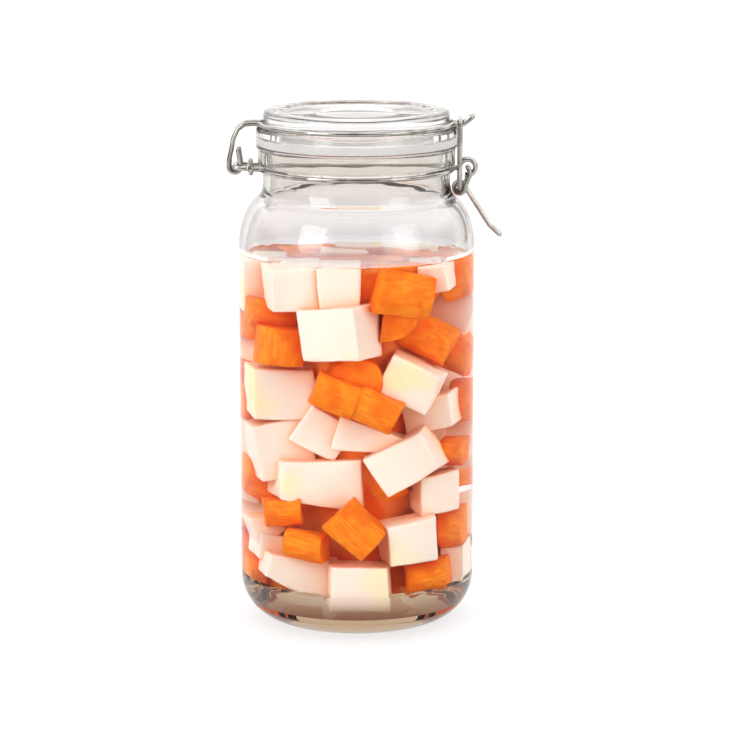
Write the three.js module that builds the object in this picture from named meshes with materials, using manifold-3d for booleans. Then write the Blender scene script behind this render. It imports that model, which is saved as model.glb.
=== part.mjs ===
// A tall clip top preserving jar, shut, packed with cubes of white radish and chunks of carrot.
// Millimetres, +Z up. The jar's axis is Z and it stands on z = 0. The hinge is at -X, the latch at +X.
import * as THREE from 'three';
import { mergeVertices } from 'three/addons/utils/BufferGeometryUtils.js';
import { ConvexGeometry } from 'three/addons/geometries/ConvexGeometry.js';
import Module from 'manifold-3d';

const wasm = await Module();
wasm.setup();

// Glass jar
const BODY_R = 56.5;
const WALL = 3.2;
const FOOT_R = 35.5;
const HEEL_H = 22.4;
const FLOOR_Z = 7.5;
const INNER_HEEL = 20;
const SHOULDER_Z = 182.4;
const SHOULDER_IN = 16;
const SHOULDER_H = 26.5;
const NECK_R = 44.8;
const NECK_Z = 210.5;
const FINISH_R = 47.1;
const LIP_R = 48;
const MOUTH_R = 41.4;
const JAR_TOP = 231;

// Glass lid and its seal
const SEAL_Z = 231.3;
const SEAL_T = 3.7;
const FLANGE_R = 48.1;
const FLANGE_Z = 235.3;
const FLANGE_TOP = 239.6;
const PLUG_R = 40.6;
const PLUG_Z = 230.2;
const DISC_R = 44.5;
const LID_TOP = 247.6;
const ROUND_SEGMENTS = 36;

// Wires of the closure
const WIRE_R = 1.1;
const WIRE_SIDES = 6;
const RING_STEPS = 18;
const SMOOTH_TURN = THREE.MathUtils.degToRad(36);
const NECK_RING_R = 46.2;
const NECK_RING_Z = 219.8;
const LID_RING_R = 46;
const LID_RING_Z = 241.2;
const HINGE = { x: -58.05, z: 220.8 };
const HINGE_BAR_HALF = 8.5;
const COLLAR_X = -50.6;
const ARM_Y = 4.2;
const EYE_R = 2.85;
const PIVOT = { x: 53, z: 220.1 };
const HOOK_R = 3.8;
const HOOK_Y = 1.5;
const LEVER_Y = 4.1;
const TAB_Y = 1.35;
const LINK_LOW = { x: 49.1, z: 210.3 };
const LINK_TOP = { x: 49.4, z: 243.05 };
const LINK_Y = 6.8;
const LEVER_EYE_R = 2.55;
const NOSE_Y = 3.6;
const NOSE_SADDLE = { x: 49.7, z: 240.5 };
const NOSE_TIP = { x: 55.4, z: 244.6 };

// Vegetables
const BRINE_Z = 179;
const WALL_CLEARANCE = 0.6;
const CORE_R = 38;
const ROUND_CUTS = 3;

const rad = THREE.MathUtils.degToRad;

// Solids and booleans
function solid(geometry) {
  const bare = geometry.clone();
  bare.deleteAttribute('normal');
  bare.deleteAttribute('uv');
  const merged = mergeVertices(bare, 1e-4);
  const vertProperties = Float32Array.from(merged.attributes.position.array);
  const triVerts = Uint32Array.from(merged.index.array);
  return new wasm.Manifold(new wasm.Mesh({ numProp: 3, vertProperties, triVerts }));
}

function geometryOf(manifold) {
  const mesh = manifold.getMesh();
  const geometry = new THREE.BufferGeometry();
  geometry.setAttribute('position', new THREE.BufferAttribute(mesh.vertProperties, 3));
  geometry.setIndex(new THREE.BufferAttribute(mesh.triVerts, 1));
  return geometry;
}

function joined(geometries) {
  return geometryOf(geometries.map(solid).reduce((whole, piece) => whole.add(piece)));
}

// A turned solid from [radius, height] pairs
function turned(profile, segments = ROUND_SEGMENTS) {
  const points = profile.map(([r, z]) => new THREE.Vector2(r, z));
  return new THREE.LatheGeometry(points, segments).rotateX(Math.PI / 2);
}

// Points of an elliptical arc in the profile plane, from one angle to another in degrees
function arcProfile(centreR, centreZ, a, b, from, to, steps) {
  const points = [];
  for (let i = 0; i <= steps; i += 1) {
    const t = rad(from + ((to - from) * i) / steps);
    points.push([centreR + a * Math.cos(t), centreZ + b * Math.sin(t)]);
  }
  return points;
}

// A route that steps from point to point, so that bends take more steps than straight runs
class Route extends THREE.Curve {
  constructor(points) {
    super();
    this.points = points;
  }

  getPoint(t) {
    return this.points[Math.round(t * (this.points.length - 1))].clone();
  }

  getSpacedPoints() {
    return this.points.map((point) => point.clone());
  }

  getTangentAt(t) {
    const last = this.points.length - 1;
    const i = Math.round(t * last);
    const before = this.points[Math.max(i - 1, 0)];
    const after = this.points[Math.min(i + 1, last)];
    return after.clone().sub(before).normalize();
  }
}

// The same route with each sharp corner rounded
function rounded(corners, radius, steps = 3) {
  const points = [corners[0]];
  for (let i = 1; i < corners.length - 1; i += 1) {
    const corner = corners[i];
    const back = corners[i - 1].clone().sub(corner);
    const on = corners[i + 1].clone().sub(corner);
    const turn = Math.PI - back.angleTo(on);
    if (turn < SMOOTH_TURN) {
      points.push(corner);
      continue;
    }
    const reach = Math.min(radius * Math.tan(turn / 2), 0.48 * back.length(), 0.48 * on.length());
    const start = corner.clone().addScaledVector(back.normalize(), reach);
    const end = corner.clone().addScaledVector(on.normalize(), reach);
    points.push(...new THREE.QuadraticBezierCurve3(start, corner, end).getPoints(steps));
  }
  points.push(corners.at(-1));
  return points;
}

function wire(points) {
  const section = new THREE.Shape();
  section.absarc(0, 0, WIRE_R, 0, 2 * Math.PI);
  return new THREE.ExtrudeGeometry(section, {
    extrudePath: new Route(points),
    steps: points.length - 1,
    curveSegments: WIRE_SIDES / 2,
  });
}

const at = (x, y, z) => new THREE.Vector3(x, y, z);

// One side's route, carried on through its mirror image across y = 0
function mirroredRoute(half) {
  const other = half.map((point) => at(point.x, -point.y, point.z));
  return [...other.slice(1).reverse(), ...half];
}

// Points of a circle about a pivot in the XZ plane, drifting sideways from one y to another
function turnAbout(pivot, radius, from, to, steps, yFrom, yTo = yFrom) {
  const points = [];
  for (let i = 0; i <= steps; i += 1) {
    const t = rad(from + ((to - from) * i) / steps);
    const y = THREE.MathUtils.lerp(yFrom, yTo, i / steps);
    points.push(at(pivot.x + radius * Math.cos(t), y, pivot.z + radius * Math.sin(t)));
  }
  return points;
}

// The near half of a ring round the jar, from a y on the hinge side to a y on the latch side
function halfRing(radius, z, yHinge, yLatch, steps) {
  const from = Math.PI + Math.asin(yHinge / radius);
  const to = 2 * Math.PI - Math.asin(yLatch / radius);
  const points = [];
  for (let i = 0; i <= steps; i += 1) {
    const t = from + ((to - from) * i) / steps;
    points.push(at(radius * Math.cos(t), radius * Math.sin(t), z));
  }
  return points;
}

// Jar
function jarGeometry() {
  const shoulderEnd = 66;
  const outerShoulder = arcProfile(
    BODY_R - SHOULDER_IN, SHOULDER_Z, SHOULDER_IN, SHOULDER_H, 0, shoulderEnd, 6,
  );
  const innerShoulder = arcProfile(37.8, 181, BODY_R - WALL - 37.8, 24.5, 70, 0, 5);
  const heel = arcProfile(FOOT_R, HEEL_H, BODY_R - FOOT_R, HEEL_H, -90, 0, 6);
  const innerFoot = BODY_R - WALL - INNER_HEEL;
  const innerHeel = arcProfile(innerFoot, FLOOR_Z + INNER_HEEL, INNER_HEEL, INNER_HEEL, 0, -90, 5);
  return turned([
    [0, 0],
    ...heel,
    ...outerShoulder,
    [45.3, 208.4],
    [NECK_R, NECK_Z],
    [NECK_R, 221.3],
    [FINISH_R - 0.4, 222],
    [FINISH_R, 223],
    [FINISH_R, 229.4],
    [LIP_R, 230],
    [LIP_R - 0.6, JAR_TOP],
    [MOUTH_R + 0.8, JAR_TOP],
    [MOUTH_R, JAR_TOP - 0.8],
    [MOUTH_R, 208],
    ...innerShoulder,
    ...innerHeel,
    [0, FLOOR_Z],
  ]);
}

// Lid
function lidGeometry() {
  const ceiling = 240.4;
  return turned([
    [0, ceiling],
    [35.5, ceiling],
    [36.5, ceiling - 1.2],
    [37, PLUG_Z + 0.8],
    [37.8, PLUG_Z],
    [PLUG_R - 0.7, PLUG_Z],
    [PLUG_R, PLUG_Z + 0.7],
    [PLUG_R, FLANGE_Z],
    [FLANGE_R - 0.8, FLANGE_Z],
    [FLANGE_R, FLANGE_Z + 0.8],
    ...arcProfile(FLANGE_R - 1.2, FLANGE_TOP - 1.2, 1.2, 1.2, 0, 90, 2),
    [DISC_R, FLANGE_TOP],
    ...arcProfile(DISC_R - 2, LID_TOP - 2, 2, 2, 0, 90, 3),
    [37.5, LID_TOP],
    [36, LID_TOP - 1.3],
    [20.8, LID_TOP - 1.6],
    [20, LID_TOP - 2.2],
    [0, LID_TOP - 2.2],
  ]);
}

function sealGeometry() {
  const inner = PLUG_R + 0.4;
  const outer = LIP_R;
  const top = SEAL_Z + SEAL_T;
  const edge = 0.8;
  return turned([
    [inner, SEAL_Z],
    [outer - edge, SEAL_Z],
    [outer, SEAL_Z + edge],
    [outer, top - edge],
    [outer - edge, top],
    [inner, top],
    [inner, SEAL_Z],
  ]);
}

// The wire round the jar's neck: a ring, the hinge bar behind it and two hooks for the lever's axle
function neckWireGeometry() {
  const ring = halfRing(NECK_RING_R, NECK_RING_Z, HINGE_BAR_HALF, HOOK_Y, RING_STEPS);
  const corners = [
    at(HINGE.x, 0, HINGE.z),
    at(HINGE.x, -HINGE_BAR_HALF, HINGE.z),
    ...ring,
    at(PIVOT.x - HOOK_R, -HOOK_Y, NECK_RING_Z),
    ...turnAbout(PIVOT, HOOK_R, 170, -110, 9, -HOOK_Y),
  ];
  const collars = [-1, 1].map((side) => new THREE.TorusGeometry(2 * WIRE_R - 0.1, WIRE_R, 6, 10)
    .rotateY(Math.PI / 2)
    .translate(COLLAR_X, side * HINGE_BAR_HALF, HINGE.z - 0.45));
  return joined([wire(mirroredRoute(rounded(corners, 2.4))), ...collars]);
}

// The wire on the lid: eyes on the hinge bar, two arms, a ring round the disc and an upturned nose
function lidWireGeometry() {
  const arm = [[-60.7, 224], [-59.5, 229.4], [-58.7, 234], [-56.5, 238.6], [-53.5, 240.9], [-50, 241.3]];
  const corners = [
    at(NOSE_TIP.x, 0, NOSE_TIP.z),
    at(NOSE_TIP.x, -NOSE_Y, NOSE_TIP.z),
    at(NOSE_SADDLE.x + 1.5, -NOSE_Y, NOSE_SADDLE.z + 0.6),
    at(NOSE_SADDLE.x, -NOSE_Y, NOSE_SADDLE.z),
    ...halfRing(LID_RING_R, LID_RING_Z, ARM_Y, NOSE_Y, RING_STEPS).reverse(),
    ...arm.map(([x, z]) => at(x, -ARM_Y, z)).reverse(),
    ...turnAbout(HINGE, EYE_R, 180, 370, 8, -ARM_Y),
    at(-56.4, -ARM_Y, 229.3),
  ];
  return wire(mirroredRoute(rounded(corners, 2)));
}

// The lever: an axle in the neck wire's hooks, an eye round the link on each side and a narrow finger tab
function leverGeometry() {
  const leaving = 33.5;
  const corners = [
    at(68.6, 0, 187.7),
    at(68.6, -TAB_Y, 187.7),
    at(63.6, -TAB_Y, 192.3),
    ...turnAbout(LINK_LOW, LEVER_EYE_R, leaving, 360, 10, -1.6, -LEVER_Y),
    at(52.4, -LEVER_Y, 212.8),
    at(54.4, -LEVER_Y, 217.5),
    at(PIVOT.x, -LEVER_Y, PIVOT.z),
    at(PIVOT.x, -0.3, PIVOT.z),
  ];
  return wire(mirroredRoute(rounded(corners, 1.6)));
}

// The link: a closed loop that the lever's eyes pull down over the nose
function linkGeometry() {
  const overlap = 0.5;
  const half = rounded([
    at(LINK_LOW.x, overlap, LINK_LOW.z),
    at(LINK_LOW.x, -LINK_Y, LINK_LOW.z),
    at(LINK_TOP.x, -LINK_Y, LINK_TOP.z),
    at(LINK_TOP.x, overlap, LINK_TOP.z),
  ], 2.4, 4);
  const other = half.map((point) => at(point.x, -point.y, point.z)).reverse();
  return joined([wire(half), wire(other)]);
}

// Vegetables that show at the front, each by its bearing from the front in degrees, its height, its size
// across, up and inwards, its turn in the picture, its turn to the side and how far it stands off the wall
const FRONT = [
  { cut: 'cube', at: [-62, 168], size: [25, 24, 22], roll: 2 },
  { cut: 'cube', at: [-32, 166], size: [26, 22, 23], roll: 3 },
  { cut: 'cube', at: [-8, 166], size: [20, 24, 24], roll: 2 },
  { cut: 'half', at: [21, 165], size: [30, 24, 22], roll: -6, yaw: 14 },
  { cut: 'cube', at: [38, 170], size: [15, 16, 15], roll: 4 },
  { cut: 'half', at: [58, 168], size: [24, 18, 18], roll: 18 },
  { cut: 'half', at: [-50, 156], size: [30, 16, 16], roll: -4, off: 5 },
  { cut: 'half', at: [-42, 141], size: [29, 21, 20], roll: -5 },
  { cut: 'cube', at: [-9, 147], size: [28, 29, 25], roll: 7, yaw: -22 },
  { cut: 'quarter', at: [19, 151], size: [20, 20, 22], roll: -4, off: 2 },
  { cut: 'cube', at: [55, 153], size: [29, 28, 22], roll: -35 },
  { cut: 'half', at: [34, 146], size: [28, 20, 20], roll: -42, off: 2 },
  { cut: 'half', at: [58, 133], size: [24, 20, 20], roll: -30 },
  { cut: 'cube', at: [-38, 118], size: [32, 26, 22], roll: -2 },
  { cut: 'disc', at: [0, 128], size: [24, 24, 20], off: 3 },
  { cut: 'half', at: [-10, 118], size: [22, 19, 19], roll: -26 },
  { cut: 'half', at: [9.5, 110], size: [22, 19, 19], roll: -18 },
  { cut: 'cube', at: [27, 124], size: [31, 22, 23], roll: -28 },
  { cut: 'cube', at: [39, 108], size: [25, 18, 20], roll: -14 },
  { cut: 'half', at: [62, 113], size: [24, 26, 20] },
  { cut: 'cube', at: [-42, 92], size: [33, 27, 22], roll: 12 },
  { cut: 'cube', at: [-16, 99], size: [20, 20, 20], roll: -30, off: 5 },
  { cut: 'wedge', at: [7, 98], size: [29, 12, 20], roll: -8 },
  { cut: 'cube', at: [25, 85], size: [30, 26, 24], roll: 28 },
  { cut: 'half', at: [54, 88], size: [21, 14, 16], roll: -10 },
  { cut: 'cube', at: [-17, 75], size: [35, 24, 24], roll: -6 },
  { cut: 'cube', at: [42, 69], size: [30, 21, 22], roll: 6 },
  { cut: 'half', at: [-55, 72], size: [26, 17, 18], roll: -20 },
  { cut: 'half', at: [-39, 61], size: [25, 17, 18], roll: 6 },
  { cut: 'half', at: [-24, 48], size: [21, 20, 20], roll: -4, yaw: -25 },
  { cut: 'half', at: [0, 52], size: [24, 24, 20], roll: -38 },
  { cut: 'cube', at: [30, 48], size: [27, 24, 24], roll: 4, yaw: 14 },
  { cut: 'half', at: [57, 52], size: [23, 18, 18], roll: 3 },
  { cut: 'wedge', at: [-54, 50], size: [26, 22, 20], roll: 30 },
  { cut: 'wedge', at: [-33, 32], size: [36, 22, 22], roll: -14 },
  { cut: 'cube', at: [2, 25], size: [28, 23, 24], roll: -3 },
  { cut: 'half', at: [35, 29], size: [28, 20, 20], roll: 5 },
  { cut: 'cube', at: [60, 34], size: [22, 20, 20], roll: 4 },
];
const BACK_ROWS = 7;
const BACK_COLUMNS = 6;
const BACK_SEED = 11;

function innerRadius(z) {
  const innerFoot = BODY_R - WALL - INNER_HEEL;
  const below = Math.max(FLOOR_Z + INNER_HEEL - z, 0) / INNER_HEEL;
  return innerFoot + INNER_HEEL * Math.sqrt(Math.max(1 - below * below, 0)) - WALL_CLEARANCE;
}

function randomFrom(seed) {
  let state = seed;
  return () => {
    state = (state * 16807) % 2147483647;
    return state / 2147483647;
  };
}

// A prism with its length across, from a round section cut to the given part of a turn
function roundCut(width, height, depth, from, sweep) {
  const section = new THREE.Shape();
  if (sweep < 360) section.moveTo(0, 0);
  section.absarc(0, 0, 0.5, rad(from), rad(from + sweep));
  const prism = new THREE.ExtrudeGeometry(section, {
    depth: 1, bevelEnabled: false, curveSegments: ROUND_CUTS,
  });
  prism.center();
  prism.computeBoundingBox();
  const size = prism.boundingBox.getSize(at(0, 0, 0));
  return prism.scale(width / size.x, height / size.y, depth / size.z);
}

function corners(width, height, depth, topPart, random) {
  const points = [];
  for (const x of [-0.5, 0.5]) {
    for (const y of [-0.5, 0.5]) {
      for (const z of [-0.5, 0.5]) {
        const slope = x > 0 ? topPart : 1;
        const jitter = () => (random() - 0.5) * 0.12;
        points.push(at((x + jitter()) * width, (y + jitter()) * depth, (z * slope + jitter()) * height));
      }
    }
  }
  return points;
}

function vegetable({ cut, size }, random) {
  const [width, height, depth] = size;
  if (cut === 'cube') return new ConvexGeometry(corners(width, height, depth, 1, random));
  if (cut === 'wedge') return new ConvexGeometry(corners(width, height, depth, 0.3, random));
  if (cut === 'quarter') return roundCut(width, height, depth, -90, 90).rotateX(Math.PI / 2);
  if (cut === 'disc') return roundCut(width, height, depth, 0, 360).rotateX(Math.PI / 2);
  return roundCut(depth, height, width, -90, 180).rotateX(Math.PI / 2).rotateZ(Math.PI / 2).rotateX(Math.PI);
}

// Turns a piece to face its bearing and pushes it out until its first corner meets the wall
function placed(piece, random) {
  const { roll = 0, yaw = 0, off = 0 } = piece;
  const [bearing, height] = piece.at;
  const geometry = vegetable(piece, random);
  geometry.rotateY(-rad(roll)).rotateZ(rad(yaw)).rotateZ(rad(bearing));
  const outward = new THREE.Vector2(Math.sin(rad(bearing)), -Math.cos(rad(bearing)));
  const position = geometry.attributes.position;
  let push = BODY_R;
  for (let i = 0; i < position.count; i += 1) {
    const flat = new THREE.Vector2(position.getX(i), position.getY(i));
    const limit = innerRadius(position.getZ(i) + height);
    const along = flat.dot(outward);
    push = Math.min(push, Math.sqrt(Math.max(along * along - flat.lengthSq() + limit * limit, 0)) - along);
  }
  return geometry.translate(outward.x * (push - off), outward.y * (push - off), height);
}

// Pieces behind, row by row, in the same mix of sizes
function backPieces(random) {
  const pieces = [];
  for (let row = 0; row < BACK_ROWS; row += 1) {
    for (let column = 0; column < BACK_COLUMNS; column += 1) {
      const bearing = 84 + (column + 0.5 * (row % 2)) * 31 + (random() - 0.5) * 8;
      const height = 28 + row * 22.8 + (random() - 0.5) * 5;
      const size = [26, 22, 21].map((length) => length + random() * 5);
      const cut = random() < 0.55 ? 'cube' : 'half';
      pieces.push({ cut, at: [bearing, height], size, roll: (random() - 0.5) * 70 });
    }
  }
  return pieces;
}

function picklesGeometry() {
  const random = randomFrom(BACK_SEED);
  const core = turned([[0, 10], [28, 10], [CORE_R, 20], [CORE_R, 168], [26, 174], [0, 171]], 16);
  const pieces = [...FRONT, ...backPieces(random)].map((piece) => placed(piece, random));
  const lid = new THREE.CylinderGeometry(BODY_R, BODY_R, 40, 24).rotateX(Math.PI / 2).translate(0, 0, BRINE_Z + 20);
  return geometryOf(solid(joined([core, ...pieces])).subtract(solid(lid)));
}

// Finishes
const glass = { color: 0xe6ecea, roughness: 0.03, metalness: 0, transparent: true, opacity: 0.35 };
const rubber = { color: 0xe9e6df, roughness: 0.45, metalness: 0 };
const steel = { color: 0xc9c9c6, roughness: 0.18, metalness: 1 };
const food = { color: 0xf4d9bd, roughness: 0.4, metalness: 0 };

const part = new THREE.Group();

function add(name, geometry, finish) {
  const mesh = new THREE.Mesh(geometry, new THREE.MeshStandardMaterial(finish));
  mesh.name = name;
  part.add(mesh);
}

add('jar', jarGeometry(), glass);
add('pickles', picklesGeometry(), food);
add('neck_wire', neckWireGeometry(), steel);
add('lid', lidGeometry(), glass);
add('seal', sealGeometry(), rubber);
add('lid_wire', lidWireGeometry(), steel);
add('lever', leverGeometry(), steel);
add('link', linkGeometry(), steel);

export default part;
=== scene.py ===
import math
import random

import bmesh
import bpy
from mathutils import Matrix, Vector, noise
from mathutils.bvhtree import BVHTree


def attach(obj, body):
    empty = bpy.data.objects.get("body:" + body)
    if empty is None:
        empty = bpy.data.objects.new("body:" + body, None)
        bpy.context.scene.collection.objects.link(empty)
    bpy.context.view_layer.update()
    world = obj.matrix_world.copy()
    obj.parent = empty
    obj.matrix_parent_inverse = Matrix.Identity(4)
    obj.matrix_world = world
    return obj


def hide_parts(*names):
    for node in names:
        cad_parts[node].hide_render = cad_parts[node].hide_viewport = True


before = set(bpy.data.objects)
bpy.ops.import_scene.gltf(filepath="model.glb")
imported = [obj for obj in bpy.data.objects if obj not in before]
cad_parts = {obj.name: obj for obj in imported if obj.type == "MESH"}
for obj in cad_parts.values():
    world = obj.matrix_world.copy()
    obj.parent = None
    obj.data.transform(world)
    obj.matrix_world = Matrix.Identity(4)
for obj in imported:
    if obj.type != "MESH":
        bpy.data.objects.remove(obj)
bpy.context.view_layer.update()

MM = 0.001

# Sizes of the jar, the lid and the wires, in millimetres
BODY_R = 56.5
WALL = 3.2
FOOT_R = 35.5
HEEL_H = 22.4
FLOOR_Z = 7.5
INNER_HEEL = 20.0
SHOULDER_Z = 182.4
SHOULDER_IN = 16.0
SHOULDER_H = 26.5
NECK_R = 44.8
FINISH_R = 47.1
LIP_R = 48.0
MOUTH_R = 41.4
JAR_TOP = 231.0
SEAL_Z = 231.3
SEAL_T = 3.7
FLANGE_R = 48.1
FLANGE_Z = 235.3
FLANGE_TOP = 239.6
PLUG_R = 40.6
PLUG_Z = 230.2
DISC_R = 44.5
LID_TOP = 247.6
WIRE_R = 1.1
NECK_RING_R = 46.2
NECK_RING_Z = 219.8
LID_RING_R = 46.0
LID_RING_Z = 241.2
HINGE = (-58.05, 220.8)
HINGE_BAR_HALF = 8.5
COLLAR_X = -50.6
ARM_Y = 4.2
EYE_R = 2.85
PIVOT = (53.0, 220.1)
HOOK_R = 3.8
HOOK_Y = 1.5
LEVER_Y = 4.1
TAB_Y = 1.35
LINK_LOW = (49.1, 210.3)
LINK_TOP = (49.4, 243.05)
LINK_Y = 6.8
LEVER_EYE_R = 2.55
NOSE_Y = 3.6
NOSE_SADDLE = (49.7, 240.5)
NOSE_TIP = (55.4, 244.6)
BRINE_Z = 179.0
MENISCUS = 1.1
BRINE_REACH = 0.4
ROUND_STEPS = 128
# How near the middle of a face has to lie to count as part of a surface
CLOSE = 0.2

# How strongly light bends from air into glass and into brine
GLASS_BEND = 1.5
BRINE_BEND = 1.33
# Weaker for the outside of the wall below the brine line, so that it mirrors the floor less; the
# inner face makes up the rest
FULL_BEND = 1.22

# Tints of the glass, with painted shadow and reflection for the base, painted shade for the neck and painted
# dark edges
JAR_TINT = (0.85, 0.838, 0.84)
BASE_TINT = (0.36, 0.18, 0.07)
RIM_TINT = (0.8, 0.77, 0.73)
EDGE_TINT = (0.16, 0.13, 0.1)
FULL_TINT = (0.97, 0.965, 0.965)
WET_TINT = (0.985, 0.985, 0.985)
LID_TINT = (0.9, 0.89, 0.89)
LID_EDGE_TINT = (0.5, 0.46, 0.4)
JAR_WAVES = 0.16
WET_WAVES = 0.02
LID_WAVES = 0.12

# The camera, in millimetres and degrees, and its picture: pixels across, the column of the jar's
# middle and the millimetres to a pixel at the jar
CAMERA = (8.8, -1507.0, 421.0)
TILT_DOWN = 11.34
SENSOR = 36.0
LENS = 152.5
FRAME = 750
MIDDLE_COLUMN = 356.6
PIXEL = 0.477

# Light: the sky's strength in the dark, on the screens and overhead, and the two lamps
DARK_LEVEL = 0.05
SCREEN_LEVEL = 1.15
OVERHEAD_LEVEL = 1.75
LAMP_HEIGHT = 0.95
LAMP_DISTANCE = 1.9
LAMP_SIZE = (0.9, 1.2)
LAMP_AIM = (0.0, 0.0, 0.12)


# Shader nodes
class Wired:
    """A socket that can be used in sums with numbers and other sockets."""

    def __init__(self, finish, socket):
        self.finish = finish
        self.socket = socket

    def _with(self, operation, first, second):
        return self.finish.node("ShaderNodeMath", {"operation": operation}, {0: first, 1: second})

    def __add__(self, other):
        return self._with("ADD", self, other)

    def __radd__(self, other):
        return self._with("ADD", other, self)

    def __sub__(self, other):
        return self._with("SUBTRACT", self, other)

    def __rsub__(self, other):
        return self._with("SUBTRACT", other, self)

    def __mul__(self, other):
        return self._with("MULTIPLY", self, other)

    def __rmul__(self, other):
        return self._with("MULTIPLY", other, self)


class Finish:
    """A node tree, of a material or of the world, with one method that adds any node."""

    def __init__(self, name, world=False):
        self.owner = (bpy.data.worlds if world else bpy.data.materials).new(name)
        self.owner.use_nodes = True
        self.tree = self.owner.node_tree
        self.shader = self.tree.nodes.get("Background" if world else "Principled BSDF")

    def feed(self, socket, value):
        if isinstance(value, Wired):
            self.tree.links.new(value.socket, socket)
        elif isinstance(value, tuple) and socket.type == "RGBA":
            socket.default_value = (*value, 1.0)
        else:
            socket.default_value = value

    def node(self, kind, settings=None, sockets=None, output=0):
        made = self.tree.nodes.new(kind)
        for key, value in (settings or {}).items():
            setattr(made, key, value)
        for key, value in (sockets or {}).items():
            self.feed(made.inputs[key], value)
        return Wired(self, made.outputs[output])

    def set(self, **values):
        for key, value in values.items():
            self.feed(self.shader.inputs[key.replace("_", " ")], value)

    def place(self, scale=(1.0, 1.0, 1.0), attribute=None):
        if attribute:
            source = self.node("ShaderNodeAttribute", {"attribute_name": attribute}, output="Vector")
        else:
            source = self.node("ShaderNodeTexCoord", output="Object")
        inputs = {"Vector": source, "Scale": scale}
        return self.node("ShaderNodeMapping", {"vector_type": "POINT"}, inputs)

    def noise(self, where, scale, detail=2.0):
        inputs = {"Vector": where, "Scale": scale, "Detail": detail}
        return self.node("ShaderNodeTexNoise", {}, inputs)

    def between(self, value, low, high, to_low=0.0, to_high=1.0):
        inputs = {"Value": value, "From Min": low, "From Max": high, "To Min": to_low, "To Max": to_high}
        return self.node("ShaderNodeMapRange", {"interpolation_type": "SMOOTHSTEP"}, inputs)

    def blend(self, factor, first, second):
        inputs = {0: factor, 6: first, 7: second}
        return self.node("ShaderNodeMix", {"data_type": "RGBA"}, inputs, output=2)

    def bump(self, height, strength, distance):
        inputs = {"Height": height, "Strength": strength, "Distance": distance}
        return self.node("ShaderNodeBump", {}, inputs)

    def pass_lamps(self, tint):
        """Lets the light of the lamps and the sky straight through to what the glass holds."""
        shadow = self.node("ShaderNodeLightPath", output="Is Shadow Ray")
        bare = self.node("ShaderNodeBsdfTransparent", {}, {"Color": tint})
        shader = Wired(self, self.shader.outputs[0])
        mixed = self.node("ShaderNodeMixShader", {}, {0: shadow, 1: shader, 2: bare})
        self.feed(self.tree.nodes["Material Output"].inputs["Surface"], mixed)


def glass_finish(name, tint, waves, bend=GLASS_BEND, base_tint=None, rim_tint=None, edge_tint=None):
    """Clear pressed glass with slow waves left by the mould; painted shadow and reflection at its base,
    painted shade at its neck and rim and on its edges.
    """
    finish = Finish(name)
    swell = finish.noise(finish.place(scale=(0.35, 0.35, 1.6)), 60.0, detail=2.0)
    split = finish.node("ShaderNodeSeparateXYZ", {}, {0: finish.place()}, output="Z")
    colour = finish.blend(finish.between(swell, 0.3, 0.7), tint, tuple(0.985 * part for part in tint))
    # Painted shadow and reflection: brown-orange low down, for the shade under the jar and the carrots seen
    # in the thick base
    if base_tint:
        colour = finish.blend(finish.between(split, 0.009, 0.023), base_tint, colour)
    # Painted shade: a darker, warmer neck and rim
    if rim_tint:
        colour = finish.blend(finish.between(split, 0.206, 0.214), colour, rim_tint)
    # Painted shade: darker where the glass is seen edge-on, standing in for the dark edges the surroundings
    # give
    if edge_tint:
        edge = finish.node("ShaderNodeLayerWeight", {}, {"Blend": 0.5}, output="Facing")
        colour = finish.blend(finish.between(edge, 0.55, 0.95), colour, edge_tint)
    finish.set(Base_Color=colour, Roughness=0.0, IOR=bend, Specular_IOR_Level=0.35)
    finish.set(Transmission_Weight=1.0, Normal=finish.bump(swell, waves, 0.002))
    finish.pass_lamps((0.96, 0.96, 0.96))
    return finish.owner


def brine_finish(name, bend):
    finish = Finish(name)
    ripple = finish.noise(finish.place(), 45.0, detail=1.0)
    finish.set(Base_Color=(1.0, 0.985, 0.97), Roughness=0.0, IOR=bend)
    finish.set(Transmission_Weight=1.0)
    finish.set(Normal=finish.bump(ripple, 0.04, 0.001))
    finish.pass_lamps((1.0, 0.99, 0.98))
    return finish.owner


def wire_finish():
    """Bright drawn steel, with faint draw lines and a little uneven polish."""
    finish = Finish("wire_drawn_steel")
    patches = finish.noise(finish.place(), 160.0, detail=3.0)
    lines = finish.noise(finish.place(scale=(0.4, 0.4, 3.0)), 900.0, detail=2.0)
    tone = finish.between(patches, 0.3, 0.7)
    finish.set(Base_Color=finish.blend(tone, (0.3, 0.285, 0.26), (0.5, 0.48, 0.45)), Metallic=1.0)
    finish.set(Roughness=0.06 + 0.1 * tone, Normal=finish.bump(lines, 0.08, 0.0002))
    return finish.owner


def seal_finish():
    """Pale silicone, slightly see-through."""
    finish = Finish("seal_pale_silicone")
    cloud = finish.noise(finish.place(), 60.0, detail=3.0)
    finish.set(Base_Color=finish.blend(cloud, (0.82, 0.81, 0.78), (0.93, 0.92, 0.9)), Roughness=0.35)
    finish.set(Transmission_Weight=0.55, IOR=1.4)
    return finish.owner


def sheltered(finish, distance):
    """How deep a point lies between its neighbours, 0 in the open to 1 where they hide it: the mask of the
    painted shade between the pieces.
    """
    settings = {"only_local": True, "samples": 6}
    openness = finish.node("ShaderNodeAmbientOcclusion", settings, {"Distance": distance}, output="AO")
    return finish.between(openness, 0.2, 0.9, 1.0, 0.0)


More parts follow.
